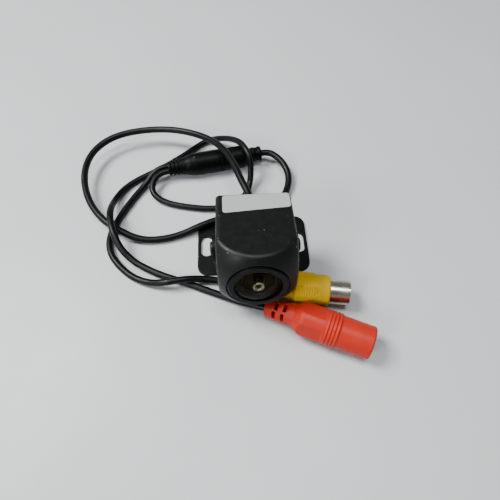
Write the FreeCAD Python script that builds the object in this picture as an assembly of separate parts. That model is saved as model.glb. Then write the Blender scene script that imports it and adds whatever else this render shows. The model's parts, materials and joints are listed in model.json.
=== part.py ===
import FreeCAD, Part
import math
import os

# Backup camera on a U bracket, with its moulded lead, inline connector and two tails.
# Millimetres, +Z up. The lens looks along -Y, and the bracket plate lies on Z = 0 with the
# centre of its underside at the origin.

V = FreeCAD.Vector

# bracket
PLATE_WIDTH = 41.1
PLATE_LENGTH = 24.3
SHEET = 1.1
PLATE_CORNER = 3.8
SLOT_X = 17.2
SLOT_WIDTH = 4.4
SLOT_LENGTH = 8.6
ARM_INNER_X = 12.45
ARM_TOP_RADIUS = 4.7
ARM_HOLE_RADIUS = 1.52

# camera housing, in the camera's own frame: origin on the tilt axis, Y along the lens axis
PIVOT = V(0, -12.0, 18.3)
TILT_AT_REST = 8.8
HALF = 12.1
CORNER = 1.5
REAR = 11.6
WALL_HALF = 10.0
DOME_CENTRE = (-2.8, 2.2)
DOME_RADIUS = 15.05
NOSE = -15.7
RIM_BLEND = 2.0
SEAM_TURN = 45
RECESS_HALF = 10.65
BOARD_HALF = 9.3
POST = 8.1
COVER_SCREW = 8.7

# cords
LEAD_RADIUS = 1.35
TAIL_RADIUS = 1.25
ARC_SHARE = 0.45
LAST_JOIN_SHARE = 0.46

# inline connector
INLINE_LEFT = V(-32.8, 36.7, 4.6)
INLINE_ANGLE = 10.0
INLINE_RADIUS = 4.6
INLINE_SPLIT = 22.0
INLINE_LENGTH = 39.3

# jacks
VIDEO_ORIGIN = V(14.3, -21.3, 5.3)
VIDEO_ANGLE = -9.6
VIDEO_RADIUS = 5.3
VIDEO_LENGTH = 10.25
SHELL_RADIUS = 4.15
POWER_ORIGIN = V(3.1, -27.23, 5.84)
POWER_ANGLE = -24.84
POWER_RADIUS = 5.64
POWER_RIB_RADIUS = 5.84
POWER_SLEEVE_RADIUS = 5.33
POWER_BOOT_DROOP = 14.3
POWER_BOOT_HINGE = 9.3
POWER_BOOT_LENGTH = 9.6
FACET_DEPTH = 0.5


# ---- small helpers -------------------------------------------------------------------------

def cylinder(radius, start, end):
    return Part.makeCylinder(radius, (end - start).Length, start, end - start)


def block(x0, x1, y0, y1, z0, z1):
    return Part.makeBox(x1 - x0, y1 - y0, z1 - z0, V(x0, y0, z0))


def turned(profile):
    """A solid of revolution about local X from (along, radius) corners."""
    points = [V(s, r, 0) for s, r in profile]
    face = Part.Face(Part.makePolygon(points + [points[0]]))
    return face.revolve(V(0, 0, 0), V(1, 0, 0), 360)


def tube(outer, inner, start, end):
    return turned([(start, inner), (end, inner), (end, outer), (start, outer)])


def rod(radius, start, end):
    return turned([(start, 0), (end, 0), (end, radius), (start, radius)])


def rounded_plate(half_x, half_z, corner, y0, y1):
    """A plate with rounded corners, square to Y."""
    plate = block(-half_x, half_x, y0, y1, -half_z, half_z)
    edges = [e for e in plate.Edges if abs(e.tangentAt(0).y) > 0.99]
    return plate.makeFillet(corner, edges)


def along_y(shape):
    """Turns a part made along local X so that it lies along Y."""
    return shape.rotated(V(0, 0, 0), V(0, 0, 1), 90)


def placed(shape, origin, angle, droop=0):
    """Puts a part made along local X at origin, turned about Z, its far end raised by droop."""
    tipped = shape.rotated(V(0, 0, 0), V(0, 1, 0), -droop)
    return tipped.rotated(V(0, 0, 0), V(0, 0, 1), angle).translated(origin)


def at_camera(shape):
    """From the camera's own frame to the part's frame."""
    return shape.rotated(V(0, 0, 0), V(1, 0, 0), -TILT_AT_REST).translated(PIVOT)


def camera_point(x, y, z):
    tilt = math.radians(TILT_AT_REST)
    return PIVOT + V(x, y * math.cos(tilt) + z * math.sin(tilt), z * math.cos(tilt) - y * math.sin(tilt))


def corners(distance):
    return [(x, z) for x in (-distance, distance) for z in (-distance, distance)]


def save(name, shape):
    os.makedirs("parts", exist_ok=True)
    shape.exportStep("parts/" + name + ".step")


def group(shapes):
    return Part.makeCompound(shapes)


def driven(head, face, out, reach):
    """Cuts a cross recess into a screw head, in the face that looks along out."""
    across = V(0, 0, 1)
    other = out.cross(across)
    for direction, square in ((across, other), (other, across)):
        bar = [direction * a + square * b + out * c
               for a in (-reach, reach) for b in (-0.22, 0.22) for c in (-0.55, 0.5)]
        lows = V(min(p.x for p in bar), min(p.y for p in bar), min(p.z for p in bar)) + face
        highs = V(max(p.x for p in bar), max(p.y for p in bar), max(p.z for p in bar)) + face
        head = head.cut(block(lows.x, highs.x, lows.y, highs.y, lows.z, highs.z))
    return head


# ---- bracket -------------------------------------------------------------------------------

def tangent_point(point, centre, radius, side):
    """Where a line from point touches a circle, in the Y-Z plane."""
    away = point - centre
    turn = math.acos(radius / away.Length) * side
    angle = math.atan2(away.z, away.y) + turn
    return centre + V(0, math.cos(angle), math.sin(angle)) * radius


def bracket_arm(x0):
    front_foot = V(x0, -PLATE_LENGTH / 2 + 0.4, SHEET / 2)
    rear_foot = V(x0, -1.0, SHEET / 2)
    top = V(x0, PIVOT.y, PIVOT.z)
    front_top = tangent_point(front_foot, top, ARM_TOP_RADIUS, -1)
    rear_top = tangent_point(rear_foot, top, ARM_TOP_RADIUS, 1)
    outline = Part.makePolygon([front_foot, front_top, rear_top, rear_foot, front_foot])
    web = Part.Face(outline).extrude(V(SHEET, 0, 0))
    disc = cylinder(ARM_TOP_RADIUS, top, top + V(SHEET, 0, 0))
    hole = cylinder(ARM_HOLE_RADIUS, top - V(1, 0, 0), top + V(SHEET + 1, 0, 0))
    return web.fuse(disc).cut(hole)


def bracket():
    plate = block(-PLATE_WIDTH / 2, PLATE_WIDTH / 2, -PLATE_LENGTH / 2, PLATE_LENGTH / 2, 0, SHEET)
    upright = [e for e in plate.Edges if abs(e.tangentAt(0).z) > 0.99]
    plate = plate.makeFillet(PLATE_CORNER, upright)
    half_straight = (SLOT_LENGTH - SLOT_WIDTH) / 2
    for x in (-SLOT_X, SLOT_X):
        slot = block(x - SLOT_WIDTH / 2, x + SLOT_WIDTH / 2, -half_straight, half_straight, -1, SHEET + 1)
        for y in (-half_straight, half_straight):
            slot = slot.fuse(cylinder(SLOT_WIDTH / 2, V(x, y, -1), V(x, y, SHEET + 1)))
        plate = plate.cut(slot)
    rims = [e for e in plate.Edges if abs(e.CenterOfMass.z - SHEET) < 0.01]
    plate = plate.makeFillet(0.25, rims)
    left = bracket_arm(-ARM_INNER_X - SHEET)
    right = bracket_arm(ARM_INNER_X)
    return plate.fuse(left).fuse(right).removeSplitter()


# ---- camera housing ------------------------------------------------------------------------

def dome(offset=0.0, front=NOSE):
    """The domed nose and the round envelope behind it, shrunk by offset."""
    centre_y, centre_r = DOME_CENTRE
    radius = DOME_RADIUS - offset
    start_r = centre_r + math.sqrt(radius ** 2 - (front - centre_y) ** 2)
    start = V(front, start_r, 0)
    top = V(centre_y, centre_r + radius, 0)
    half_turn = (math.atan2(start_r - centre_r, front - centre_y) + math.pi / 2) / 2
    middle = V(centre_y + radius * math.cos(half_turn), centre_r + radius * math.sin(half_turn), 0)
    back = REAR + 1
    edges = [
        Part.LineSegment(V(front, 0, 0), start).toShape(),
        Part.Arc(start, middle, top).toShape(),
        Part.LineSegment(top, V(back, top.y, 0)).toShape(),
        Part.LineSegment(V(back, top.y, 0), V(back, 0, 0)).toShape(),
        Part.LineSegment(V(back, 0, 0), V(front, 0, 0)).toShape(),
    ]
    face = Part.Face(Part.Wire(edges))
    whole = along_y(face.revolve(V(0, 0, 0), V(1, 0, 0), 360))
    return whole.rotated(V(0, 0, 0), V(0, 1, 0), SEAM_TURN)


def front_housing():
    prism = rounded_plate(HALF, HALF, CORNER, NOSE - 1, REAR)
    shell = prism.common(dome())
    cavity = rounded_plate(WALL_HALF, WALL_HALF, 1.0, -11.5, REAR + 1).common(dome(2.2, -11.5))
    shell = shell.cut(cavity)
    for x, z in corners(POST):
        post = cylinder(1.7, V(x, -10.8, z), V(x, -0.9, z))
        shell = shell.fuse(post)
    for x, z in corners(COVER_SCREW):
        shell = shell.fuse(cylinder(1.55, V(x, 5.6, z), V(x, 9.1, z)))
    for side in (-1, 1):
        shell = shell.fuse(cylinder(3.2, V(side * 9.6, 0, 0), V(side * (HALF - 1), 0, 0)))
    recess = rounded_plate(RECESS_HALF, RECESS_HALF, 1.0, 9.1, REAR + 1)
    shell = shell.cut(recess)
    shell = shell.cut(along_y(tube(9.7, 9.24, NOSE - 1, NOSE + 0.8)))
    shell = shell.cut(along_y(rod(9.24, NOSE - 1, -13.9)))
    shell = shell.cut(along_y(rod(7.2, -14.5, -10.5)))
    for x, z in corners(POST):
        shell = shell.cut(cylinder(1.0, V(x, -6.5, z), V(x, 0, z)))
    for x, z in corners(COVER_SCREW):
        shell = shell.cut(cylinder(0.8, V(x, 5.0, z), V(x, 9.5, z)))
    for side in (-1, 1):
        shell = shell.cut(cylinder(2.2, V(side * 9, 0, 0), V(side * (HALF + 1), 0, 0)))
    return shell


def soften(shell):
    """Rounds the outer rim where the dome meets the flat sides, and the rear rim."""
    outer = []
    for edge in shell.Edges:
        mid = edge.valueAt((edge.FirstParameter + edge.LastParameter) / 2)
        reach = max(abs(mid.x), abs(mid.z))
        on_front_rim = reach > HALF - 0.5 and mid.y < -5 and edge.Length > 4
        on_side = abs(edge.valueAt(edge.FirstParameter).y - edge.valueAt(edge.LastParameter).y) > 5
        if on_front_rim and not on_side:
            outer.append(edge)
    return shell.makeFillet(RIM_BLEND, outer)


def rear_cover():
    plate = rounded_plate(RECESS_HALF - 0.05, RECESS_HALF - 0.05, 0.95, 9.6, REAR)
    rim = [e for e in plate.Edges if abs(e.CenterOfMass.y - REAR) < 0.01]
    plate = plate.makeFillet(0.4, rim)
    plate = plate.cut(along_y(rod(2.9, 9, REAR + 1)))
    for x, z in corners(COVER_SCREW):
        plate = plate.cut(cylinder(0.9, V(x, 9, z), V(x, REAR + 1, z)))
    return plate


def rear_gasket():
    outer = rounded_plate(RECESS_HALF - 0.05, RECESS_HALF - 0.05, 0.95, 9.1, 9.6)
    ring = outer.cut(rounded_plate(WALL_HALF, WALL_HALF, 0.9, 9, 10))
    for x, z in corners(COVER_SCREW):
        ring = ring.cut(cylinder(0.9, V(x, 9, z), V(x, 10, z)))
    return ring


def cover_screws():
    screws = []
    for x, z in corners(COVER_SCREW):
        head = cylinder(1.5, V(x, REAR, z), V(x, REAR + 0.9, z))
        rim = [e for e in head.Edges if abs(e.CenterOfMass.y - REAR - 0.9) < 0.01 and e.Length > 8]
        head = head.makeFillet(0.4, rim)
        screws.append(driven(head, V(x, REAR + 0.9, z), V(0, 1, 0), 0.9)
                      .fuse(cylinder(0.77, V(x, 6.2, z), V(x, REAR + 0.1, z))))
    return group(screws)


# ---- optics --------------------------------------------------------------------------------

def lens(front, back, rim_front, rim_back, radius, front_sag, back_sag):
    """A lens along Y. Sags are heights of the faces at the rim: positive bulges to the front."""
    edges = []
    rims = [V(front, 0, 0), V(rim_front, radius, 0), V(rim_back, radius, 0), V(back, 0, 0)]
    for a, b, sag in ((rims[0], rims[1], front_sag), (rims[3], rims[2], back_sag)):
        if abs(sag) < 1e-6:
            edges.append(Part.LineSegment(a, b).toShape())
            continue
        ball = (radius ** 2 + sag ** 2) / (2 * sag)
        half = math.asin(radius / abs(ball)) / 2
        mid = V(a.x + ball * (1 - math.cos(half)), abs(ball) * math.sin(half), 0)
        edges.append(Part.Arc(a, mid, b).toShape())
    edges.append(Part.LineSegment(rims[1], rims[2]).toShape())
    edges.append(Part.LineSegment(rims[0], rims[3]).toShape())
    face = Part.Face(Part.Wire(Part.__sortEdges__(edges)))
    return along_y(face.revolve(V(0, 0, 0), V(1, 0, 0), 360))


def optics():
    bezel = [(-16.15, 7.35), (-16.25, 7.6), (-16.25, 8.9), (-15.95, 9.2), (-13.9, 9.2), (-13.9, 7.35)]
    save("lens_bezel", at_camera(along_y(turned(bezel))))
    front = lens(-18.0, -16.4, -15.9, -14.7, 7.2, 2.1, 1.7)
    save("front_lens", at_camera(front))
    save("lens_seal_ring", at_camera(along_y(tube(7.15, 6.1, -14.65, -13.95))))
    cup = [(-13.9, 7.1), (-13.9, 5.1), (-13.1, 4.6), (-13.1, 3.35), (-10.9, 3.35), (-10.9, 2.75),
           (-4.3, 2.75), (-4.3, 2.1), (-3.6, 2.1), (-3.6, 4.0), (-9.0, 4.0), (-9.0, 6.2),
           (-10.4, 6.2), (-10.4, 7.1)]
    save("lens_barrel", at_camera(along_y(turned(cup))))
    save("retaining_ring", at_camera(along_y(tube(4.5, 1.9, -13.5, -13.16))))
    save("second_lens", at_camera(lens(-13.35, -11.9, -12.65, -11.3, 3.3, 0.7, 0.6)))
    save("third_lens", at_camera(lens(-10.75, -9.6, -10.45, -9.6, 2.7, 0.3, 0)))
    save("iris_ring", at_camera(along_y(tube(2.7, 0.9, -9.2, -9.0))))
    save("rear_lens", at_camera(lens(-8.6, -6.6, -8.2, -7.0, 2.7, 0.4, -0.4)))
    spacers = [tube(2.7, 2.2, -9.55, -9.25), tube(2.7, 2.35, -8.95, -8.4)]
    save("lens_spacers", at_camera(group([along_y(s) for s in spacers])))


def electronics():
    holder = block(-6, 6, -2.6, -0.9, -6, 6).cut(block(-4.2, 4.2, -2.0, 0, -4.2, 4.2))
    holder = holder.fuse(along_y(rod(5.2, -8.2, -2.5)))
    holder = holder.cut(along_y(rod(4.05, -9, -3.3))).cut(along_y(rod(2.6, -4, -1)))
    save("lens_holder", at_camera(holder))
    save("ir_filter", at_camera(block(-3.6, 3.6, -2.0, -1.75, -3.6, 3.6)))
    save("image_sensor", at_camera(block(-3.3, 3.3, -1.7, -0.9, -2.9, 2.9)))
    boards = {"sensor_board": -0.9, "processor_board": 3.1}
    for name, front in boards.items():
        board = rounded_plate(BOARD_HALF, BOARD_HALF, 0.8, front, front + 1.0)
        for x, z in corners(POST):
            board = board.cut(cylinder(0.95, V(x, -9, z), V(x, 9, z)))
        save(name, at_camera(board))
    spacers = [cylinder(1.15, V(x, 0.1, z), V(x, 3.1, z)).cut(cylinder(0.95, V(x, 0, z), V(x, 4, z)))
               for x, z in corners(POST)]
    save("board_spacers", at_camera(group(spacers)))
    screws = []
    for x, z in corners(POST):
        head = driven(cylinder(1.15, V(x, 4.1, z), V(x, 4.9, z)), V(x, 4.9, z), V(0, 1, 0), 0.8)
        screws.append(head.fuse(cylinder(0.9, V(x, -4.5, z), V(x, 4.2, z))))
    save("board_screws", at_camera(group(screws)))
    save("board_link", at_camera(block(-4.5, 4.5, 0.1, 3.1, -8.8, -6.6)))
    save("processor_chip", at_camera(block(-5.5, 1.5, 4.1, 5.0, -5.5, 1.5)))
    small = [block(x, x + 1.6, 4.1, 4.8, z, z + 0.8) for x in (-5, -2.5, 0) for z in (3.2, 5.4)]
    small.append(block(3.0, 5.6, 4.1, 5.2, -4.8, -1.6))
    small.append(cylinder(1.2, V(4.3, 4.1, -6.6), V(4.3, 5.9, -6.6)))
    save("board_components", at_camera(group(small)))
    save("cable_header", at_camera(block(3.0, 6.4, 4.1, 7.4, 1.0, 7.0)))
    cores = [cylinder(0.3, V(2.6, y, z), V(0.35, y + 1.2, z / 8))
             for y, z in ((4.9, 1.8), (4.9, 3.2), (4.9, 4.6), (4.9, 6.0))]
    save("lead_cores", at_camera(group(cores)))


def lead_exit():
    boot = [(8.6, LEAD_RADIUS), (17.6, LEAD_RADIUS), (17.6, 1.95), (16.6, 2.15), (16.6, 1.85),
            (15.9, 1.85), (15.9, 2.3), (14.9, 2.4), (14.9, 2.0), (14.2, 2.0), (14.2, 2.55),
            (13.2, 2.65), (13.2, 2.2), (12.5, 2.2), (12.5, 2.85), (9.6, 2.85), (9.6, 4.2), (8.6, 4.2)]
    save("cable_gland", at_camera(along_y(turned(boot))))
    stub = [(6.6, 0.95), (17.6, 0.95), (17.6, LEAD_RADIUS), (6.6, LEAD_RADIUS)]
    save("lead_jacket_end", at_camera(along_y(turned(stub))))
    save("cable_clamp", at_camera(along_y(tube(2.6, LEAD_RADIUS, 7.0, 8.5))))


def pivot_hardware():
    parts = {"pivot_inserts": [], "friction_spacers": [], "pivot_screws": []}
    face = ARM_INNER_X + SHEET + 0.02
    top = face + 0.95
    for side in (-1, 1):
        axis = V(side, 0, 0)

        def ring(outer, inner, start, end):
            wall = cylinder(outer, axis * start, axis * end)
            return wall.cut(cylinder(inner, axis * (start - 1), axis * (end + 1)))

        head = cylinder(2.3, axis * face, axis * top)
        rim = [e for e in head.Edges if abs(abs(e.CenterOfMass.x) - top) < 0.01]
        head = driven(head.makeFillet(0.6, rim), axis * top, axis, 1.2)
        parts["pivot_screws"].append(head.fuse(cylinder(1.45, axis * 9.9, axis * (face + 0.2))))
        parts["pivot_inserts"].append(ring(2.2, 1.5, 9.7, HALF))
        parts["friction_spacers"].append(ring(3.2, 1.55, HALF + 0.02, ARM_INNER_X - 0.03))
    for name, shapes in parts.items():
        save(name, at_camera(group(shapes)))


def label():
    """A blank label stuck on slightly askew, trimmed at the rear edge of the housing."""
    outline = [V(-9.8, 3.5, HALF), V(11.5, 5.1, HALF), V(11.4, 11.45, HALF), V(-9.9, 11.3, HALF)]
    plate = Part.Face(Part.makePolygon(outline + outline[:1])).extrude(V(0, 0, 0.12))
    upright = [e for e in plate.Edges if abs(e.tangentAt(0).z) > 0.99]
    return plate.makeFillet(1.0, upright)


def camera():
    save("front_housing", at_camera(soften(front_housing())))
    save("rear_cover", at_camera(rear_cover()))
    save("rear_gasket", at_camera(rear_gasket()))
    save("cover_screws", at_camera(cover_screws()))
    save("label", at_camera(label()))
    optics()
    electronics()
    lead_exit()
    pivot_hardware()


# ---- inline connector ----------------------------------------------------------------------

def inline(shape):
    return placed(shape, INLINE_LEFT, INLINE_ANGLE)


def inline_point(along, across):
    """A point on the connector's level, measured along its axis and to the side of it."""
    turn = math.radians(INLINE_ANGLE)
    along_axis = V(math.cos(turn), math.sin(turn), 0)
    return INLINE_LEFT + along_axis * along + V(-along_axis.y, along_axis.x, 0) * across


def around(radius, count):
    turns = [2 * math.pi * (i + 0.5) / count for i in range(count)]
    return [(radius * math.cos(t), radius * math.sin(t)) for t in turns]


def pins_along(radius, start, end):
    return [cylinder(radius, V(start, y, z), V(end, y, z)) for y, z in around(1.45, 4)]


def inline_connector():
    ribs = [(0, 0), (0, 2.8), (1.0, 2.95)]
    for foot in (1.0, 2.6, 4.2):
        radius = 2.95 + foot * 0.08
        ribs += [(foot, radius - 0.55), (foot + 0.7, radius - 0.55), (foot + 0.7, radius)]
        if foot < 4:
            ribs.append((foot + 1.6, radius + 0.08))
    ribs += [(5.6, 3.4), (5.6, 0)]
    save("splitter_boot", inline(turned(ribs)))
    radius = INLINE_RADIUS
    socket = [(5.6, 0), (5.6, 3.4), (7.4, 3.6), (9.0, 4.2), (11.5, radius), (INLINE_SPLIT, radius),
              (INLINE_SPLIT, 3.9), (12.0, 3.9), (12.0, 0)]
    save("inline_socket_body", inline(turned(socket)))
    core = [(12.0, 0), (12.0, 3.87), (21.4, 3.87), (21.4, 3.38), (14.0, 3.38), (14.0, 2.62),
            (21.4, 2.62), (21.4, 0)]
    insert = turned(core)
    for hole in pins_along(0.8, 14.5, 22):
        insert = insert.cut(hole)
    save("inline_socket_insert", inline(insert))
    sleeves = [outer.cut(inner) for outer, inner in
               zip(pins_along(0.78, 14.5, 21.2), pins_along(0.52, 14.0, 22))]
    save("inline_socket_contacts", inline(group(sleeves)))
    base = [(INLINE_SPLIT, 0), (25.2, 0), (25.2, 3.85), (INLINE_SPLIT, 3.85), (INLINE_SPLIT, 3.3),
            (14.6, 3.3), (14.6, 2.7), (INLINE_SPLIT, 2.7)]
    plug = turned(base)
    for hole in pins_along(0.45, 21, 26):
        plug = plug.cut(hole)
    save("inline_plug_insert", inline(plug))
    save("inline_plug_pins", inline(group(pins_along(0.45, 15.6, 25.2))))
    save("inline_plug_seal", inline(tube(3.87, 3.32, 21.45, INLINE_SPLIT)))
    body = [(INLINE_SPLIT + 0.05, 3.87), (INLINE_SPLIT + 0.05, radius), (31.5, radius), (32.8, 4.0),
            (33.6, 3.1), (35.4, 2.8), (35.7, 3.1), (36.2, 3.1), (36.5, 2.8), (37.9, 2.8),
            (38.2, 3.1), (38.9, 3.1), (INLINE_LENGTH, 2.8), (INLINE_LENGTH, 0), (25.2, 0), (25.2, 3.87)]
    save("inline_plug_body", inline(turned(body)))


# ---- video jack ----------------------------------------------------------------------------

def grip_side(turn):
    """A sunk oval on the body's side with raised ribs across it."""
    depth = VIDEO_RADIUS - 0.45
    half_width = 1.7
    ends = (1.5, 4.9)
    oval = block(ends[0], ends[1], -half_width, half_width, depth, depth + 3)
    for end in ends:
        oval = oval.fuse(cylinder(half_width, V(end, 0, depth), V(end, 0, depth + 3)))
    for i in range(7):
        x = 0.65 + i * 0.85
        oval = oval.cut(block(x - 0.2, x + 0.2, -3, 3, depth - 1, depth + 0.3))
    return oval.rotated(V(0, 0, 0), V(1, 0, 0), turn)


def raised_panel(turn, half_angle):
    """A thicker stretch of the wall, between the two grips."""
    wall = tube(VIDEO_RADIUS + 0.4, VIDEO_RADIUS - 0.5, -1.5, 4.8)
    reach = 2 * VIDEO_RADIUS
    sector = Part.Face(Part.makePolygon([
        V(-5, 0, 0), V(-5, reach * math.sin(half_angle), reach * math.cos(half_angle)),
        V(-5, -reach * math.sin(half_angle), reach * math.cos(half_angle)), V(-5, 0, 0)]))
    return wall.common(sector.extrude(V(15, 0, 0))).rotated(V(0, 0, 0), V(1, 0, 0), turn)


def ellipse_at(centre, direction, half_width, half_height):
    """A flattened ring square to a level-ish direction, wider than it is high."""
    ring = Part.Wire(Part.Ellipse(V(0, 0, 0), half_width, half_height).toShape())
    ring.rotate(V(0, 0, 0), V(1, 0, 0), 90)
    ring.rotate(V(0, 0, 0), V(0, 0, 1), math.degrees(math.atan2(direction.y, direction.x)) - 90)
    ring.translate(centre)
    return ring


def video_relief():
    """The flattened tail of the moulding, which tapers down to the cord under the camera."""
    root = placed(Part.Vertex(V(-1.0, 0, 0)), VIDEO_ORIGIN, VIDEO_ANGLE).Point
    tip = VIDEO_TAIL[-1]
    out = root - tip
    stations = [(0.0, 1.95, 1.75, 1.55), (0.45, 2.6, 3.0, 2.5), (1.0, 2.95, 3.6, 2.85)]
    rings = []
    for share, height, half_width, half_height in stations:
        centre = V(tip.x + out.x * share, tip.y + out.y * share, height)
        rings.append(ellipse_at(centre, out, half_width, half_height))
    return Part.makeLoft(rings, True, True)


def video_jack():
    body = [(-1.6, 0), (-1.6, 4.6), (-1.3, 5.0), (-0.9, VIDEO_RADIUS), (9.4, VIDEO_RADIUS - 0.05),
            (9.9, 5.1), (VIDEO_LENGTH, 4.75), (VIDEO_LENGTH, 3.93), (8.0, 3.93), (8.0, 0)]
    shape = turned(body)
    for turn, half_angle in ((-55, 37), (125, 20)):
        shape = shape.fuse(raised_panel(turn, math.radians(half_angle)))
    for turn in (35, 215):
        shape = shape.cut(grip_side(turn))
    shape = placed(shape, VIDEO_ORIGIN, VIDEO_ANGLE)
    save("video_jack_body", shape.fuse(video_relief()))
    mouth = VIDEO_LENGTH + 0.1
    shell = [(8.0, 3.91), (mouth, 3.91), (mouth, SHELL_RADIUS), (16.8, SHELL_RADIUS), (16.95, 3.9),
             (16.95, 3.7), (8.0, 3.7)]
    save("video_jack_shell", placed(turned(shell), VIDEO_ORIGIN, VIDEO_ANGLE))
    core = [(8.0, 1.95), (16.4, 1.95), (16.4, 3.68), (8.0, 3.68)]
    save("video_jack_insulator", placed(turned(core), VIDEO_ORIGIN, VIDEO_ANGLE))
    contact = tube(1.93, 1.6, 9.0, 16.4).fuse(rod(1.93, 8.05, 9.0))
    save("video_jack_contact", placed(contact, VIDEO_ORIGIN, VIDEO_ANGLE))


# ---- power jack ----------------------------------------------------------------------------

def boot_slots():
    """Two staggered rows of notches on each side of the relief, so that it flexes."""
    cuts = []
    for turn, starts in ((62, (2.7, 5.8)), (-2, (3.3, 6.3)), (178, (3.3, 6.3)), (242, (2.7, 5.8))):
        for start in starts:
            notch = block(start, start + 1.15, -1.45, 1.45, 0.9, 5.0)
            cuts.append(notch.rotated(V(0, 0, 0), V(1, 0, 0), turn))
    return cuts


def power_jack():
    start = POWER_BOOT_HINGE - POWER_BOOT_LENGTH
    boot = turned([(start, 0), (start, 2.7), (start + 0.3, 3.0), (8.0, 3.7), (9.5, 3.8), (9.5, 0)])
    for notch in boot_slots():
        boot = boot.cut(notch)
    hinge = V(POWER_BOOT_HINGE, 0, 0)
    boot = boot.cut(rod(TAIL_RADIUS + 0.02, start - 1, 8.0)).rotated(hinge, V(0, 1, 0), -POWER_BOOT_DROOP)
    cord_end = rod(TAIL_RADIUS, start + 0.05, 7.6).rotated(hinge, V(0, 1, 0), -POWER_BOOT_DROOP)
    save("power_tail_end", placed(cord_end, POWER_ORIGIN, POWER_ANGLE))
    profile = [(8.4, 0), (8.4, 3.6), (9.4, 3.85), (11.9, 5.5), (12.7, POWER_RADIUS), (19.9, POWER_RADIUS)]
    for foot in (20.1, 21.2, 22.3, 23.4):
        profile += [(foot, POWER_RADIUS - 0.2), (foot + 0.25, POWER_RIB_RADIUS),
                    (foot + 0.65, POWER_RIB_RADIUS), (foot + 0.9, POWER_RADIUS - 0.2)]
    profile += [(24.7, POWER_SLEEVE_RADIUS + 0.05), (34.7, POWER_SLEEVE_RADIUS), (35.1, 5.0), (35.1, 3.15),
                (25.0, 3.15), (25.0, 0)]
    body = turned(profile)
    facet = block(11.4, 19.4, -3.2, 3.2, POWER_RADIUS - FACET_DEPTH, POWER_RADIUS + 2)
    for turn in (70, -20, 160, 250):
        body = body.cut(facet.rotated(V(0, 0, 0), V(1, 0, 0), turn))
    save("power_jack_body", placed(body.fuse(boot), POWER_ORIGIN, POWER_ANGLE))
    save("power_jack_insulator", placed(tube(3.12, 0.82, 25.05, 26.2), POWER_ORIGIN, POWER_ANGLE))
    save("power_jack_sleeve", placed(tube(3.12, 2.85, 26.2, 34.4), POWER_ORIGIN, POWER_ANGLE))
    pin = [(25.05, 0), (25.05, 0.8), (26.3, 0.8), (26.3, 1.05), (32.3, 1.05), (32.8, 0.7), (32.8, 0)]
    save("power_jack_pin", placed(turned(pin), POWER_ORIGIN, POWER_ANGLE))
    spring = block(26.2, 31.5, -0.6, 0.6, 2.45, 2.7)
    save("power_jack_spring", placed(spring, POWER_ORIGIN, POWER_ANGLE))


def power_boot_end():
    """The centre of the relief's end face, where the cord comes out."""
    droop = math.radians(POWER_BOOT_DROOP)
    level, drop = math.cos(droop), math.sin(droop)
    local = V(POWER_BOOT_HINGE - POWER_BOOT_LENGTH * level, 0, -POWER_BOOT_LENGTH * drop)
    return placed(Part.Vertex(local), POWER_ORIGIN, POWER_ANGLE).Point


# ---- cords ---------------------------------------------------------------------------------

LEAD = [
    camera_point(0, 17.65, 0), camera_point(0, 23.2, 0), V(-3.0, 18.5, 15.2), V(-5.4, 27.0, 15.2),
    V(-8.2, 35.0, 14.2), V(-13.2, 43.6, 12.2), V(-21.5, 50.8, 10.3), V(-32.5, 56.0, 8.6),
    V(-45.3, 57.2, 7.6), V(-57.4, 54.6, 6.9), V(-65.3, 46.8, 6.2), V(-67.5, 35.6, 5.2),
    V(-64.2, 23.0, 4.6), V(-57.8, 12.9, 4.5), V(-50.0, 6.6, 4.4), V(-42.0, 3.6, 1.6),
    V(-33.5, 3.6, 1.35), V(-26.0, 5.6, 1.6), V(-20.0, 7.8, 3.0), V(-13.0, 10.8, 2.7),
    V(-5.0, 13.4, 2.6), V(4.0, 15.8, 1.9), V(11.3, 18.4, 1.5), V(15.2, 23.9, 1.6),
    V(17.2, 31.0, 2.6), V(15.5, 37.8, 3.8), V(11.7, 42.5, 4.5),
    inline_point(INLINE_LENGTH + 2.8, 0), inline_point(INLINE_LENGTH + 0.05, 0),
]
POWER_TAIL = [
    inline_point(0, -1.4), inline_point(-4.4, -1.4), V(-39.6, 28.9, 3.4), V(-38.3, 24.3, 2.2),
    V(-33.0, 21.0, 1.3), V(-24.6, 18.6, 1.25), V(-14.5, 17.0, 1.25), V(-6.0, 18.8, 1.25),
    V(-1.0, 24.0, 1.6), V(1.0, 30.0, 3.6), V(1.2, 34.6, 8.6), V(0.0, 38.4, 11.0),
    V(-2.4, 44.0, 10.8), V(-6.4, 49.8, 7.6), V(-11.0, 54.2, 4.0), V(-16.4, 56.0, 1.7),
    V(-21.6, 52.6, 1.25), V(-27.2, 47.4, 1.25), V(-33.8, 42.1, 1.25), V(-40.8, 37.4, 1.25),
    V(-46.6, 33.9, 1.25), V(-51.6, 29.0, 1.4), V(-54.2, 22.0, 2.4), V(-53.5, 13.6, 7.0),
    V(-51.3, 5.0, 7.5), V(-48.6, -1.2, 4.8), V(-44.2, -5.3, 1.7), V(-38.6, -8.9, 1.25),
    V(-32.4, -12.0, 1.25), V(-26.6, -14.3, 1.25), V(-20.5, -17.0, 1.25), V(-13.2, -20.3, 1.3),
    V(-6.0, -23.5, 1.6), V(-1.6, -25.2, 2.25), power_boot_end(),
]
VIDEO_TAIL = [
    inline_point(0, 1.4), inline_point(-4.6, 1.4), V(-42.6, 31.0, 1.7), V(-46.2, 25.6, 1.25),
    V(-49.4, 19.4, 1.25), V(-52.3, 12.6, 1.25), V(-54.2, 5.2, 1.25), V(-52.8, -1.6, 1.25),
    V(-49.0, -7.0, 1.25), V(-43.6, -12.0, 1.25), V(-37.2, -15.0, 1.9), V(-31.2, -16.2, 4.3),
    V(-24.8, -15.3, 4.4), V(-18.4, -14.3, 2.2), V(-11.8, -15.2, 1.25), V(-5.0, -17.6, 1.3),
    V(0.6, -19.6, 1.5), V(5.0, -20.3, 1.95),
]


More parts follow.
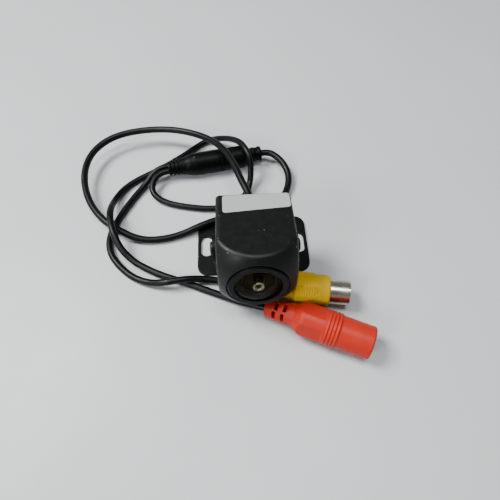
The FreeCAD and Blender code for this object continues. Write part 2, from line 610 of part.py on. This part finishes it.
def bend(before, corner, after):
    """The tangent arc at a route point: its two ends, its middle and its radius."""
    run_in, run_out = before - corner, after - corner
    turn = math.pi - run_in.getAngle(run_out)
    radius = ARC_SHARE * min(run_in.Length, run_out.Length) / math.tan(turn / 2)
    reach = radius * math.tan(turn / 2)
    towards = (run_in.normalize() + run_out.normalize()).normalize()
    depth = radius / math.cos(turn / 2) - radius
    return (corner + run_in * reach, corner + towards * depth, corner + run_out * reach, radius)


def cord(name, route, radius):
    """A round cord along straight runs joined by tangent arcs."""
    edges, here, tightest = [], route[0], math.inf
    for i in range(1, len(route) - 1):
        start, middle, end, arc_radius = bend(route[i - 1], route[i], route[i + 1])
        edges.append(Part.LineSegment(here, start).toShape())
        edges.append(Part.Arc(start, middle, end).toShape())
        here, tightest = end, min(tightest, arc_radius)
    edges.append(Part.LineSegment(here, route[-1]).toShape())
    path = Part.Wire(edges)
    length = sum(e.Length for e in edges)
    circle = Part.Wire(Part.makeCircle(radius, route[0], route[1] - route[0]))
    solid = path.makePipeShell([circle], True, False)
    share = solid.Volume / (math.pi * radius ** 2 * length)
    print(f"{name}: length {length:.1f}, tightest radius {tightest:.1f}, volume share {share:.4f}")
    save(name, solid)


def between(a, b, share):
    return a + (b - a) * share


def cords():
    first_join = between(LEAD[4], LEAD[5], 0.5)
    last_join = between(LEAD[22], LEAD[23], LAST_JOIN_SHARE)
    cord("camera_lead_start", LEAD[:5] + [first_join], LEAD_RADIUS)
    cord("camera_lead", [first_join] + LEAD[5:23] + [last_join], LEAD_RADIUS)
    cord("camera_lead_end", [last_join] + LEAD[23:], LEAD_RADIUS)
    cord("power_tail", POWER_TAIL, TAIL_RADIUS)
    cord("video_tail", VIDEO_TAIL, TAIL_RADIUS)


save("bracket", bracket())
camera()
inline_connector()
video_jack()
power_jack()
cords()
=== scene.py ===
import bmesh
import bpy
import json
import math
from mathutils import Matrix, Vector


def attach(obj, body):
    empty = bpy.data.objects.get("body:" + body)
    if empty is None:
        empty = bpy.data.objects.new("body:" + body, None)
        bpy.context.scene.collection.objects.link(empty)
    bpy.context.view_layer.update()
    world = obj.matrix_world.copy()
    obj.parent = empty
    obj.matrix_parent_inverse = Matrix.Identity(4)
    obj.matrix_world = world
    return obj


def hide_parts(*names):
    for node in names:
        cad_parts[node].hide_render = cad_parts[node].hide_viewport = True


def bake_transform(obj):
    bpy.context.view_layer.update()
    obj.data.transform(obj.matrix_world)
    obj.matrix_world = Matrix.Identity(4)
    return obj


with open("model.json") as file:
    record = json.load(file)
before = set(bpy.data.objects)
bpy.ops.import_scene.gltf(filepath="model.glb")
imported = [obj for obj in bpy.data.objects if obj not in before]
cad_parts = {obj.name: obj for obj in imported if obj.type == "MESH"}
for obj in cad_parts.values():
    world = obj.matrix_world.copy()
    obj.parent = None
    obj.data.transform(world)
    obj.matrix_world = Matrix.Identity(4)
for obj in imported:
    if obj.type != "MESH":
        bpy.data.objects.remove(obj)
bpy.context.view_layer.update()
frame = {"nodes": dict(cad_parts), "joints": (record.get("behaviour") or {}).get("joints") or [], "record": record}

# Backup camera. The CAD frame holds the solid pieces. This script gives them their finishes and adds softer
# copies of the moulded ones, the front glass with its pupil, the cords, and a studio. Lengths are in metres,
# except those that pass through mm().
MM = 0.001
SUBPARTS = frame["record"]["subparts"]
JOINTS = {joint["name"]: joint for joint in frame["joints"]}
PIVOT = Vector(JOINTS["camera_tilt"]["pos_m"])
TILT_AT_REST = math.radians(8.8)
CAMERA_FRAME = Matrix.Translation(PIVOT) @ Matrix.Rotation(-TILT_AT_REST, 4, "X")


def mm(*values):
    return Vector(values) * MM


def on_camera(x, y, z):
    return CAMERA_FRAME @ mm(x, y, z)


def add_object(name, data):
    made = bpy.data.objects.new(name, data)
    bpy.context.scene.collection.objects.link(made)
    return made


def evaluated_mesh(piece):
    """What the object's modifiers, or its curve settings, make of it."""
    depsgraph = bpy.context.evaluated_depsgraph_get()
    return bpy.data.meshes.new_from_object(piece.evaluated_get(depsgraph))


def shade_smooth(mesh):
    for polygon in mesh.polygons:
        polygon.use_smooth = True


# ---- the view --------------------------------------------------------------------------------

EYE = mm(-5.55, -79.2, 125.2)
LOOK = Vector((0.0302, 0.5247, -0.8508))
ROLL = math.radians(0.13)
LENS = 28.18
NEAREST, FARTHEST = 0.005, 20


def make_camera():
    camera = add_object("camera", bpy.data.cameras.new("camera"))
    camera.data.lens = LENS
    camera.data.clip_start, camera.data.clip_end = NEAREST, FARTHEST
    camera.matrix_world = (Matrix.Translation(EYE) @ LOOK.to_track_quat("-Z", "Y").to_matrix().to_4x4()
                           @ Matrix.Rotation(ROLL, 4, "Z"))
    bpy.context.scene.camera = camera


# ---- materials -------------------------------------------------------------------------------

LOW, HIGH = 0.3, 0.7                # where a noise's ramp starts and ends
GLOSS_PATCHES = 2.7                 # patches of gloss for each patch of colour
LEAST_ROUGHNESS = 0.02
DUST_CELLS, DUST_PATCHES = 620, 240
DUST_CORE = 0.7                     # the share of a speck that is fully covered
BARE, DUSTY = 0.52, 0.60            # noise levels between which the dust sets in
DUST_TONE = (0.42, 0.41, 0.38)
GLASS_COAT_ROUGHNESS = 0.015

# Scales are per metre and grain_depth is in millimetres.
FINISHES = {
    "housing_plastic": dict(base=(0.0032, 0.0036, 0.0035), roughness=0.44, specular=0.24, grain_scale=4200,
                            grain_depth=0.010, dust=0.085),
    "bezel_plastic": dict(base=(0.0022, 0.0023, 0.0026), roughness=0.44, specular=0.10, grain_depth=0.002),
    # The barrel's black carries an amber tint, a painted reflection standing in for the amber reflections of the
    # lens coating.
    "black_aluminium": dict(base=(0.010, 0.0070, 0.0012), roughness=0.45, metallic=0.3, specular=0.20,
                            grain_depth=0),
    "iris_metal": dict(base=(0.55, 0.66, 1.0), roughness=0.25, metallic=0.8, grain_depth=0.0004),
    "holder_plastic": dict(base=(0.012, 0.012, 0.012), roughness=0.55),
    "soft_rubber": dict(base=(0.008, 0.008, 0.008), roughness=0.62, specular=0.3, grain_depth=0.006),
    "label_white": dict(base=(0.34, 0.37, 0.35), roughness=0.42, mottle=0.03, grain_depth=0.002),
    "black_screw": dict(base=(0.02, 0.02, 0.021), roughness=0.33, metallic=0.75),
    "steel": dict(base=(0.6, 0.6, 0.6), roughness=0.3, metallic=1.0),
    "brass": dict(base=(0.72, 0.52, 0.22), roughness=0.3, metallic=1.0),
    "spacer_nylon": dict(base=(0.03, 0.03, 0.03), roughness=0.5),
    "board_green": dict(base=(0.02, 0.14, 0.05), roughness=0.35),
    "sensor_grey": dict(base=(0.16, 0.17, 0.18), roughness=0.3),
    "bracket_paint": dict(base=(0.0015, 0.0020, 0.0020), roughness=0.46, specular=0.14, grain_scale=3000,
                          grain_depth=0.018, dust=0.10),
    "cord_pvc": dict(base=(0.0014, 0.0017, 0.0018), roughness=0.40, specular=0.20, grain_depth=0.003,
                     dust=0.07),
    "connector_pvc": dict(base=(0.0008, 0.0010, 0.0011), roughness=0.46, specular=0.10, grain_depth=0.005,
                          dust=0.08),
    "insert_plastic": dict(base=(0.02, 0.02, 0.02), roughness=0.5),
    "contact_gold": dict(base=(0.85, 0.62, 0.26), roughness=0.25, metallic=1.0),
    "red_pvc": dict(base=(0.42, 0.018, 0.007), roughness=0.44, specular=0.22, mottle=0.06, grain_depth=0.005),
    "yellow_pvc": dict(base=(0.60, 0.37, 0.003), roughness=0.50, specular=0.10, mottle=0.05,
                       grain_depth=0.005),
    "nickel": dict(base=(0.62, 0.60, 0.50), roughness=0.25, metallic=1.0, mottle=0.08, grain_depth=0.001),
    "insulator_white": dict(base=(0.8, 0.8, 0.76), roughness=0.4),
}
GLASSES = {
    "front_glass": dict(tint=(0.60, 0.54, 0.34), roughness=0.01, ior=1.03, coat=0.08),
    "inner_glass": dict(tint=(0.62, 0.58, 0.36), coat=0.4),
    "filter_glass": dict(tint=(0.4, 0.6, 0.5)),
}


def opaque(shade):
    """A Blender colour, from a grey level or from red, green and blue."""
    return (shade, shade, shade, 1.0) if isinstance(shade, float) else (*shade, 1.0)


def node(tree, kind, **settings):
    made = tree.nodes.new(kind)
    for name, value in settings.items():
        setattr(made, name, value)
    return made


def noise(tree, place, scale, detail, roughness=0.5):
    made = node(tree, "ShaderNodeTexNoise")
    made.inputs["Scale"].default_value = scale
    made.inputs["Detail"].default_value = detail
    made.inputs["Roughness"].default_value = roughness
    tree.links.new(place, made.inputs["Vector"])
    return made.outputs["Fac"]


def ramp(tree, value, stops):
    made = node(tree, "ShaderNodeValToRGB")
    elements = made.color_ramp.elements
    while len(elements) < len(stops):
        elements.new(0.5)
    for element, (position, shade) in zip(elements, stops):
        element.position = position
        element.color = opaque(shade)
    tree.links.new(value, made.inputs["Fac"])
    return made.outputs["Color"]


def mixed(tree, share, under, over):
    """A plain colour laid over a textured one, by a textured share."""
    made = node(tree, "ShaderNodeMix", data_type="RGBA")
    factor, low, high = (next(socket for socket in made.inputs if socket.name == name and socket.enabled)
                         for name in ("Factor", "A", "B"))
    tree.links.new(share, factor)
    tree.links.new(under, low)
    high.default_value = opaque(over)
    return next(socket for socket in made.outputs if socket.enabled)


def bump(tree, height, depth):
    made = node(tree, "ShaderNodeBump")
    made.inputs["Strength"].default_value = 1.0
    made.inputs["Distance"].default_value = depth
    tree.links.new(height, made.inputs["Height"])
    return made.outputs["Normal"]


def dusted(tree, place, colour, reach):
    """Specks of dust in patches over a colour, each as wide as its reach from the middle of a cell."""
    cells = node(tree, "ShaderNodeTexVoronoi", feature="F1")
    cells.inputs["Scale"].default_value = DUST_CELLS
    tree.links.new(place, cells.inputs["Vector"])
    near = ramp(tree, cells.outputs["Distance"], [(reach * DUST_CORE, 1.0), (reach, 0.0)])
    where = ramp(tree, noise(tree, place, DUST_PATCHES, 2.0), [(BARE, 0.0), (DUSTY, 1.0)])
    specks = node(tree, "ShaderNodeMath", operation="MULTIPLY")
    tree.links.new(near, specks.inputs[0])
    tree.links.new(where, specks.inputs[1])
    return mixed(tree, specks.outputs[0], colour, DUST_TONE)


def material(name, base, roughness, metallic=0.0, specular=0.5, mottle=0.12, mottle_scale=180,
             grain_scale=2600, grain_depth=0.004, spread=0.06, dust=0.0):
    """A moulded or coated surface: uneven colour and gloss, a fine grain, and a little dust."""
    made = bpy.data.materials.new(name)
    made.use_nodes = True
    tree = made.node_tree
    shader = tree.nodes["Principled BSDF"]
    place = node(tree, "ShaderNodeTexCoord").outputs["Object"]
    patches = noise(tree, place, mottle_scale, 4.0, 0.6)
    dark = [level * (1 - mottle) for level in base]
    light = [min(1.0, level * (1 + mottle)) for level in base]
    colour = ramp(tree, patches, [(LOW, dark), (HIGH, light)])
    if dust > 0:
        colour = dusted(tree, place, colour, dust)
    tree.links.new(colour, shader.inputs["Base Color"])
    glossy = max(LEAST_ROUGHNESS, roughness - spread)
    dull = min(1.0, roughness + spread)
    gloss = ramp(tree, noise(tree, place, mottle_scale * GLOSS_PATCHES, 3.0, 0.6),
                 [(LOW, glossy), (HIGH, dull)])
    tree.links.new(gloss, shader.inputs["Roughness"])
    if grain_depth > 0:
        grain = noise(tree, place, grain_scale, 2.0, 0.55)
        tree.links.new(bump(tree, grain, grain_depth * MM), shader.inputs["Normal"])
    shader.inputs["Metallic"].default_value = metallic
    shader.inputs["Specular IOR Level"].default_value = specular
    return made


def clear(name, tint, roughness=0.02, ior=1.1, coat=0.0):
    """Thin polished glass: no grain, hardly any bending, and its reflection in the coat."""
    made = material(name, tint, roughness, specular=0.1, mottle=0.04, mottle_scale=60, grain_depth=0,
                    spread=0.004)
    shader = made.node_tree.nodes["Principled BSDF"]
    shader.inputs["Transmission Weight"].default_value = 1.0
    shader.inputs["IOR"].default_value = ior
    shader.inputs["Coat Weight"].default_value = coat
    shader.inputs["Coat Roughness"].default_value = GLASS_COAT_ROUGHNESS
    return made


def make_materials():
    made = {name: material(name, **finish) for name, finish in FINISHES.items()}
    made.update({name: clear(name, **glass) for name, glass in GLASSES.items()})
    return made


def paint(piece, finish):
    piece.data.materials.clear()
    piece.data.materials.append(finish)


def paint_frame(materials):
    """Each carried-over CAD node gets the finish of its own slot."""
    for part in SUBPARTS:
        piece = frame["nodes"][part["node"]]
        finish = materials[part["material_slot"]]
        if not piece.material_slots:
            piece.data.materials.append(finish)
        for slot in piece.material_slots:
            slot.material = finish


# ---- moulded pieces --------------------------------------------------------------------------

# The new piece: the CAD node it stands for, the body it rides on, and its voxel in millimetres.
MOULDED = {
    "power_jack_moulding": ("power_jack_body", "bracket", 0.17),
    "video_jack_moulding": ("video_jack_body", "bracket", 0.13),
    "inline_socket_moulding": ("inline_socket_body", "bracket", 0.15),
    "splitter_moulding": ("splitter_boot", "bracket", 0.11),
    "inline_plug_moulding": ("inline_plug_body", "inline_plug", 0.15),
    "cable_gland_moulding": ("cable_gland", "camera", 0.12),
}
SMOOTHING_PASSES = 3
SMOOTHING_SHARE = 0.5


def softened(name, source, voxel):
    """The CAD shape again, with its sharp moulded edges rounded over by about one voxel."""
    piece = add_object(name, frame["nodes"][source].data.copy())
    remesh = piece.modifiers.new("remesh", "REMESH")
    remesh.mode = "VOXEL"
    remesh.voxel_size = voxel * MM
    smooth = piece.modifiers.new("smooth", "SMOOTH")
    smooth.factor = SMOOTHING_SHARE
    smooth.iterations = SMOOTHING_PASSES
    soft = evaluated_mesh(piece)
    piece.modifiers.clear()
    piece.data = soft
    shade_smooth(soft)
    return piece


def make_moulded(materials):
    slots = {part["node"]: part["material_slot"] for part in SUBPARTS}
    for name, (source, body, voxel) in MOULDED.items():
        piece = softened(name, source, voxel)
        paint(piece, materials[slots[source]])
        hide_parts(source)
        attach(piece, body)


# ---- lens ------------------------------------------------------------------------------------

# Millimetres along the lens axis, or out from it, in the camera's own frame.
GLASS_RADIUS = 7.2
GLASS_FRONT, GLASS_FRONT_SAG = -18.0, 2.1
GLASS_BACK, GLASS_BACK_SAG = -16.4, 1.7
PUPIL_FRONT, PUPIL_NECK, PUPIL_BACK = -16.1, -15.6, -13.5
PUPIL_LIP = [
    (PUPIL_NECK, 1.75), (PUPIL_FRONT + 0.2, 1.78), (PUPIL_FRONT + 0.05, 1.7), (PUPIL_FRONT, 1.5),
    (PUPIL_FRONT + 0.1, 1.25), (PUPIL_NECK, 1.0),
]
TUBE_OUTER, TUBE_INNER = 1.6, 1.05
PUPIL_TUBE = [
    (PUPIL_BACK, TUBE_OUTER), (PUPIL_NECK, TUBE_OUTER), (PUPIL_NECK, TUBE_INNER), (PUPIL_BACK, TUBE_INNER),
]
ON_AXIS = 1e-6
GENTLE_ANGLE = math.radians(32)


def cap(apex, sag, count=20):
    """Points (along the axis, out from it) on one spherical face, from its apex to its rim."""
    ball = (GLASS_RADIUS ** 2 + sag ** 2) / (2 * sag)
    widest = math.asin(GLASS_RADIUS / ball)
    turns = [widest * i / count for i in range(count + 1)]
    return [(apex + ball * (1 - math.cos(turn)), ball * math.sin(turn)) for turn in turns]


def turned(name, profile, segments=96):
    """A closed profile of (along, out) points turned about the lens axis, smooth where it is gentle."""
    shape = bmesh.new()
    rings = []
    for along, out in profile:
        if out < ON_AXIS:
            rings.append([shape.verts.new(on_camera(0, along, 0))])
            continue
        turns = [2 * math.pi * i / segments for i in range(segments)]
        rings.append([shape.verts.new(on_camera(out * math.cos(turn), along, out * math.sin(turn)))
                      for turn in turns])
    for near, far in zip(rings, rings[1:] + rings[:1]):
        if len(near) == len(far) == 1:
            continue
        for i in range(segments):
            j = (i + 1) % segments
            corners = [near[i % len(near)], near[j % len(near)], far[j % len(far)], far[i % len(far)]]
            shape.faces.new(list(dict.fromkeys(corners)))
    bmesh.ops.recalc_face_normals(shape, faces=shape.faces)
    for edge in shape.edges:
        edge.smooth = edge.calc_face_angle(0) < GENTLE_ANGLE
    for face in shape.faces:
        face.smooth = True
    mesh = bpy.data.meshes.new(name)
    shape.to_mesh(mesh)
    shape.free()
    return add_object(name, mesh)


def make_lens(materials):
    dome = cap(GLASS_FRONT, GLASS_FRONT_SAG) + cap(GLASS_BACK, GLASS_BACK_SAG)[::-1]
    glass = turned("front_glass_dome", dome)
    paint(glass, materials["front_glass"])
    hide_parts("front_lens")
    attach(glass, "camera")
    pupil = {"pupil_rim": (PUPIL_LIP, "iris_metal"), "pupil_tube": (PUPIL_TUBE, "black_aluminium")}
    for name, (profile, finish) in pupil.items():
        piece = turned(name, profile)
        paint(piece, materials[finish])
        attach(piece, "camera")


# ---- cords -----------------------------------------------------------------------------------

LEAD_RADIUS = 1.35 * MM
LAST_JOIN_SHARE = 0.46
TAIL_RADIUS = 1.25 * MM
INLINE_LEFT = mm(-32.8, 36.7, 4.6)
INLINE_ANGLE = math.radians(10.0)
INLINE_LENGTH = 39.3
POWER_ORIGIN = mm(3.1, -27.23, 5.84)
POWER_ANGLE = math.radians(-24.84)
POWER_BOOT_DROOP = math.radians(14.3)
POWER_BOOT_HINGE = 9.3
POWER_BOOT_LENGTH = 9.6
INLINE_FRAME = Matrix.Translation(INLINE_LEFT) @ Matrix.Rotation(INLINE_ANGLE, 4, "Z")
POWER_FRAME = Matrix.Translation(POWER_ORIGIN) @ Matrix.Rotation(POWER_ANGLE, 4, "Z")


def on_inline(along, across):
    return INLINE_FRAME @ mm(along, across, 0)


def power_boot_end():
    level, drop = math.cos(POWER_BOOT_DROOP), math.sin(POWER_BOOT_DROOP)
    return POWER_FRAME @ mm(POWER_BOOT_HINGE - POWER_BOOT_LENGTH * level, 0, -POWER_BOOT_LENGTH * drop)


LEAD = [
    on_camera(0, 17.65, 0), on_camera(0, 23.2, 0), mm(-3.0, 18.5, 15.2), mm(-5.4, 27.0, 15.2),
    mm(-8.2, 35.0, 14.2), mm(-13.2, 43.6, 12.2), mm(-21.5, 50.8, 10.3), mm(-32.5, 56.0, 8.6),
    mm(-45.3, 57.2, 7.6), mm(-57.4, 54.6, 6.9), mm(-65.3, 46.8, 6.2), mm(-67.5, 35.6, 5.2),
    mm(-64.2, 23.0, 4.6), mm(-57.8, 12.9, 4.5), mm(-50.0, 6.6, 4.4), mm(-42.0, 3.6, 1.6),
    mm(-33.5, 3.6, 1.35), mm(-26.0, 5.6, 1.6), mm(-20.0, 7.8, 3.0), mm(-13.0, 10.8, 2.7),
    mm(-5.0, 13.4, 2.6), mm(4.0, 15.8, 1.9), mm(11.3, 18.4, 1.5), mm(15.2, 23.9, 1.6),
    mm(17.2, 31.0, 2.6), mm(15.5, 37.8, 3.8), mm(11.7, 42.5, 4.5),
    on_inline(INLINE_LENGTH + 2.8, 0), on_inline(INLINE_LENGTH + 0.05, 0),
]
POWER_TAIL = [
    on_inline(0, -1.4), on_inline(-4.4, -1.4), mm(-39.6, 28.9, 3.4), mm(-38.3, 24.3, 2.2),
    mm(-33.0, 21.0, 1.3), mm(-24.6, 18.6, 1.25), mm(-14.5, 17.0, 1.25), mm(-6.0, 18.8, 1.25),
    mm(-1.0, 24.0, 1.6), mm(1.0, 30.0, 3.6), mm(1.2, 34.6, 8.6), mm(0.0, 38.4, 11.0),
    mm(-2.4, 44.0, 10.8), mm(-6.4, 49.8, 7.6), mm(-11.0, 54.2, 4.0), mm(-16.4, 56.0, 1.7),
    mm(-21.6, 52.6, 1.25), mm(-27.2, 47.4, 1.25), mm(-33.8, 42.1, 1.25), mm(-40.8, 37.4, 1.25),
    mm(-46.6, 33.9, 1.25), mm(-51.6, 29.0, 1.4), mm(-54.2, 22.0, 2.4), mm(-53.5, 13.6, 7.0),
    mm(-51.3, 5.0, 7.5), mm(-48.6, -1.2, 4.8), mm(-44.2, -5.3, 1.7), mm(-38.6, -8.9, 1.25),
    mm(-32.4, -12.0, 1.25), mm(-26.6, -14.3, 1.25), mm(-20.5, -17.0, 1.25), mm(-13.2, -20.3, 1.3),
    mm(-6.0, -23.5, 1.6), mm(-1.6, -25.2, 2.25), power_boot_end(),
]
VIDEO_TAIL = [
    on_inline(0, 1.4), on_inline(-4.6, 1.4), mm(-42.6, 31.0, 1.7), mm(-46.2, 25.6, 1.25),
    mm(-49.4, 19.4, 1.25), mm(-52.3, 12.6, 1.25), mm(-54.2, 5.2, 1.25), mm(-52.8, -1.6, 1.25),
    mm(-49.0, -7.0, 1.25), mm(-43.6, -12.0, 1.25), mm(-37.2, -15.0, 1.9), mm(-31.2, -16.2, 4.3),
    mm(-24.8, -15.3, 4.4), mm(-18.4, -14.3, 2.2), mm(-11.8, -15.2, 1.25), mm(-5.0, -17.6, 1.3),
    mm(0.6, -19.6, 1.5), mm(5.0, -20.3, 1.95),
]
# The lead's three pieces meet halfway to its sixth point, and a set share of the way to its 24th.
FIRST_BREAK, LAST_BREAK = 5, 23
FIRST_JOIN = (LEAD[FIRST_BREAK - 1] + LEAD[FIRST_BREAK]) / 2
LAST_JOIN = LEAD[LAST_BREAK - 1].lerp(LEAD[LAST_BREAK], LAST_JOIN_SHARE)
STEPS_ALONG, STEPS_AROUND, CURVE_ORDER = 12, 7, 3


def cord_curve(name, route, radius):
    curve = bpy.data.curves.new(name, "CURVE")
    curve.dimensions = "3D"
    curve.resolution_u = STEPS_ALONG
    curve.bevel_depth = radius
    curve.bevel_resolution = STEPS_AROUND
    curve.use_fill_caps = True
    spline = curve.splines.new("NURBS")
    spline.points.add(len(route) - 1)
    for point, place in zip(spline.points, route):
        point.co = (*place, 1)
    spline.order_u = CURVE_ORDER
    spline.use_endpoint_u = True
    return add_object(name, curve)


def cord_mesh(name, route, radius):
    """A cord made as a mesh tube, and the line that it follows."""
    curve = cord_curve(name + "_line", route, radius)
    tube = evaluated_mesh(curve)
    curve.data.bevel_depth = 0
    line = [vertex.co.copy() for vertex in evaluated_mesh(curve).vertices]
    bpy.data.objects.remove(curve)
    shade_smooth(tube)
    return add_object(name, tube), line


def make_cords(materials):
    sheath = materials["cord_pvc"]
    start, start_line = cord_mesh("lead_at_camera", LEAD[:FIRST_BREAK] + [FIRST_JOIN], LEAD_RADIUS)
    paint(start, sheath)
    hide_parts("camera_lead_start")
    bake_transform(start)
    lead = cord_curve("lead", [FIRST_JOIN] + LEAD[FIRST_BREAK:LAST_BREAK] + [LAST_JOIN], LEAD_RADIUS)
    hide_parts("camera_lead")
    end, end_line = cord_mesh("lead_at_plug", [LAST_JOIN] + LEAD[LAST_BREAK:], LEAD_RADIUS)
    paint(end, sheath)
    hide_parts("camera_lead_end")
    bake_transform(end)
    power = cord_curve("power_cord", POWER_TAIL, TAIL_RADIUS)
    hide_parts("power_tail")
    video = cord_curve("video_cord", VIDEO_TAIL, TAIL_RADIUS)
    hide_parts("video_tail")
    for piece in (lead, power, video):
        paint(piece, sheath)
        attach(piece, "bracket")


# ---- floor and light -------------------------------------------------------------------------

FLOOR_REACH = 1.6
SKY = [(0.0, (0.62, 0.64, 0.66)), (0.35, (0.50, 0.53, 0.56)), (0.75, (0.20, 0.21, 0.23))]
SKY_STRENGTH = 0.54

# Each lamp is aimed at the origin: its place, its two sides, its power in watts and its tone.
LAMPS = {
    "key": ((-0.50, 0.16, 0.72), (0.32, 0.32), 12.0, (1.0, 0.99, 0.97)),
    "overhead": ((0.02, -0.05, 0.90), (0.34, 0.20), 4.2, (0.98, 0.99, 1.0)),
    "window": ((-0.56, -0.46, 0.50), (0.20, 0.20), 3.4, (0.97, 0.99, 1.0)),
}


def make_floor():
    mesh = bpy.data.meshes.new("floor")
    corners = [(-FLOOR_REACH, -FLOOR_REACH, 0), (FLOOR_REACH, -FLOOR_REACH, 0),
               (FLOOR_REACH, FLOOR_REACH, 0), (-FLOOR_REACH, FLOOR_REACH, 0)]
    mesh.from_pydata(corners, [], [(0, 1, 2, 3)])
    floor = add_object("floor", mesh)
    floor.data.materials.append(material("floor", (0.52, 0.54, 0.55), 0.42, mottle=0.02, mottle_scale=9,
                                         grain_scale=900, grain_depth=0.01, specular=0.35))


def make_sky():
    world = bpy.data.worlds.new("studio")
    bpy.context.scene.world = world
    world.use_nodes = True
    tree = world.node_tree
    place = node(tree, "ShaderNodeTexCoord").outputs["Generated"]
    split = node(tree, "ShaderNodeSeparateXYZ")
    tree.links.new(place, split.inputs[0])
    background = tree.nodes["Background"]
    tree.links.new(ramp(tree, split.outputs["Z"], SKY), background.inputs["Color"])
    background.inputs["Strength"].default_value = SKY_STRENGTH


def make_lamps():
    for name, (place, sides, power, tone) in LAMPS.items():
        light = bpy.data.lights.new(name, "AREA")
        light.shape = "RECTANGLE"
        light.size, light.size_y = sides
        light.energy = power
        light.color = tone
        lamp = add_object(name, light)
        lamp.location = place
        lamp.rotation_mode = "QUATERNION"
        lamp.rotation_quaternion = (-Vector(place)).to_track_quat("-Z", "Y")


materials = make_materials()
make_camera()
make_moulded(materials)
make_lens(materials)
make_cords(materials)
paint_frame(materials)
make_floor()
make_sky()
make_lamps()
